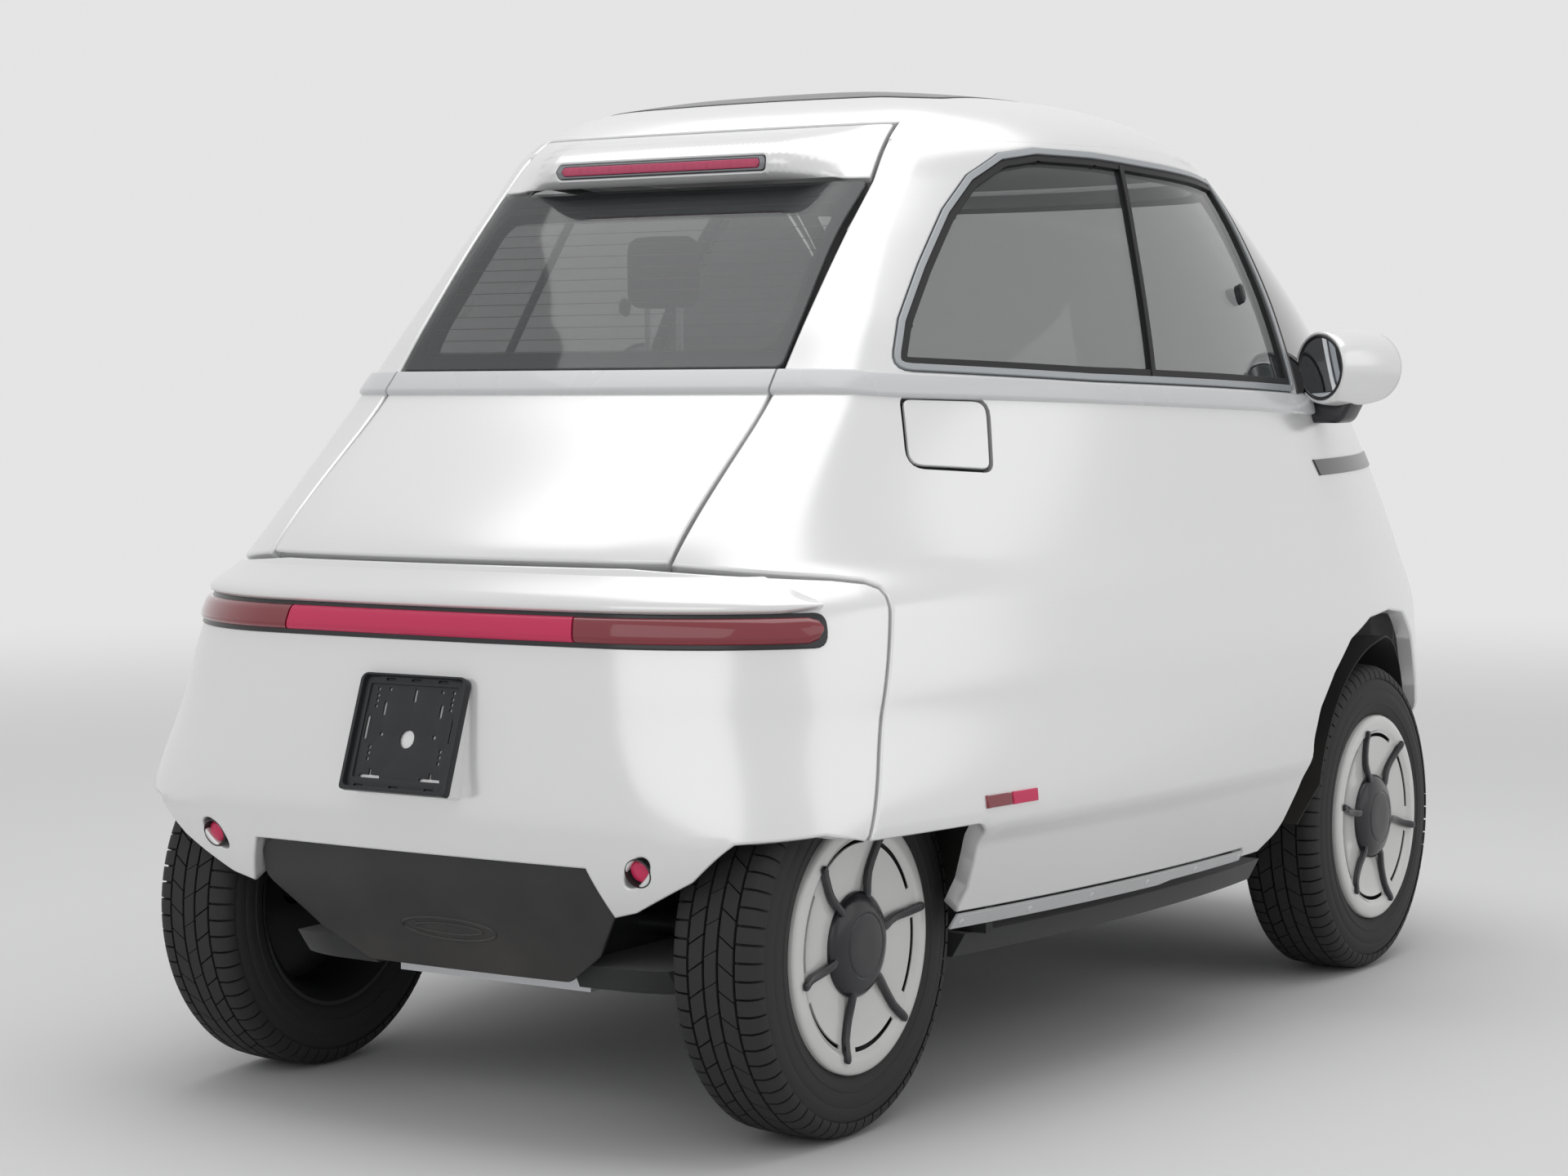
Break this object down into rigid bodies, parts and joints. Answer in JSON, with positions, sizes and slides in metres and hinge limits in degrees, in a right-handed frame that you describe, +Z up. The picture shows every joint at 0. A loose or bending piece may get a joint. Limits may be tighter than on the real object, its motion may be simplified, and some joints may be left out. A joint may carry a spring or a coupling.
{
  "type": "microcar",
  "caption": "Two-seat bubble microcar with a front-opening door, tailgate, steered front wheels, mirror pods with headlamps and a full-width tail lamp.",
  "frame": {"origin": "on the ground, centre plane, halfway along the car", "axes": "+X forward, +Y to the car's left, +Z up"},
  "size_m": [2.5534, 1.544, 1.4989],
  "materials": {
    "white_paint": "gloss",
    "black_gloss": "gloss",
    "black_plastic": "matte",
    "glass": "gloss",
    "headlamp_lens": "gloss",
    "red_lens": "gloss",
    "grey_sill": "satin",
    "battery_case": "satin",
    "cast_aluminium": "satin",
    "seat_foam": "matte",
    "steering_rubber": "satin",
    "painted_steel": "satin",
    "tyre_rubber": "matte",
    "rim_steel": "satin",
    "white_cover": "gloss",
    "black_cap": "gloss"
  },
  "bodies": {
    "root": {"battery_pack": "battery_case", "charge_inlet": "black_plastic", "drive_unit": "cast_aluminium", "floor_pan": "black_plastic", "front_arm_left": "painted_steel", "front_arm_right": "painted_steel", "front_valance": "white_paint", "headlamps": "headlamp_lens", "headrests": "seat_foam", "mirror_pod_left": "white_paint", "mirror_pod_right": "white_paint", "plate_holder": "black_plastic", "rear_arm_left": "painted_steel", "rear_arm_right": "painted_steel", "rear_bumper": "white_paint", "rear_lower_panel": "black_plastic", "roof_panel": "white_paint", "seat_backrest": "seat_foam", "seat_cushion": "seat_foam", "side_panel_left": "white_paint", "side_panel_right": "white_paint", "side_window_left": "glass", "side_window_right": "glass", "sills": "grey_sill", "steering_column": "black_plastic", "strut_left": "painted_steel", "strut_right": "painted_steel", "sunroof": "black_gloss", "tail_light_bar": "red_lens"},
    "front_door": {"front_door": "white_paint", "windshield": "glass", "front_light_bar": "black_gloss"},
    "tailgate": {"tailgate": "white_paint", "rear_window": "glass", "third_brake_light": "red_lens"},
    "charge_flap": {"charge_flap": "white_paint"},
    "steering_wheel": {"steering_wheel": "steering_rubber"},
    "knuckle_left": {"knuckle_left": "painted_steel"},
    "knuckle_right": {"knuckle_right": "painted_steel"},
    "wheel_front_left": {"tyre_front_left": "tyre_rubber", "rim_front_left": "rim_steel", "wheel_cover_front_left": "white_cover", "hub_cap_front_left": "black_cap"},
    "wheel_front_right": {"tyre_front_right": "tyre_rubber", "rim_front_right": "rim_steel", "wheel_cover_front_right": "white_cover", "hub_cap_front_right": "black_cap"},
    "wheel_rear_left": {"tyre_rear_left": "tyre_rubber", "rim_rear_left": "rim_steel", "wheel_cover_rear_left": "white_cover", "hub_cap_rear_left": "black_cap"},
    "wheel_rear_right": {"tyre_rear_right": "tyre_rubber", "rim_rear_right": "rim_steel", "wheel_cover_rear_right": "white_cover", "hub_cap_rear_right": "black_cap"}
  },
  "joints": [
    {"name": "door_hinge", "type": "hinge", "parent": "root", "child": "front_door", "pos_m": [1.121, 0.5225, 0.535], "axis": [0, 0, 1], "range_deg": [0, 78]},
    {"name": "hatch_hinge", "type": "hinge", "parent": "root", "child": "tailgate", "pos_m": [-0.4845, 0, 1.4275], "axis": [0, 1, 0], "range_deg": [0, 70]},
    {"name": "flap_hinge", "type": "hinge", "parent": "root", "child": "charge_flap", "pos_m": [-0.6075, -0.56625, 0.956], "axis": [0.3527, 0.2397, 0.9045], "range_deg": [0, 95]},
    {"name": "steering", "type": "hinge", "parent": "root", "child": "steering_wheel", "pos_m": [0.325, 0.26, 0.88], "axis": [-0.8829, 0, 0.4695], "range_deg": [-462, 462]},
    {"name": "steer_left", "type": "hinge", "parent": "root", "child": "knuckle_left", "pos_m": [0.641, 0.457, 0.265], "axis": [0, 0, 1], "range_deg": [-33, 33]},
    {"name": "steer_right", "type": "hinge", "parent": "root", "child": "knuckle_right", "pos_m": [0.641, -0.457, 0.265], "axis": [0, 0, 1], "range_deg": [-33, 33]},
    {"name": "spin_front_left", "type": "hinge", "parent": "knuckle_left", "child": "wheel_front_left", "pos_m": [0.641, 0.567, 0.265], "axis": [0, 1, 0], "continuous": true},
    {"name": "spin_front_right", "type": "hinge", "parent": "knuckle_right", "child": "wheel_front_right", "pos_m": [0.641, -0.567, 0.265], "axis": [0, 1, 0], "continuous": true},
    {"name": "spin_rear_left", "type": "hinge", "parent": "root", "child": "wheel_rear_left", "pos_m": [-0.925, 0.46, 0.265], "axis": [0, 1, 0], "continuous": true},
    {"name": "spin_rear_right", "type": "hinge", "parent": "root", "child": "wheel_rear_right", "pos_m": [-0.925, -0.46, 0.265], "axis": [0, 1, 0], "continuous": true}
  ],
  "couplings": [
    {"joint": "steer_left", "follows": "steering", "ratio": 0.071429},
    {"joint": "steer_right", "follows": "steering", "ratio": 0.071429}
  ]
}
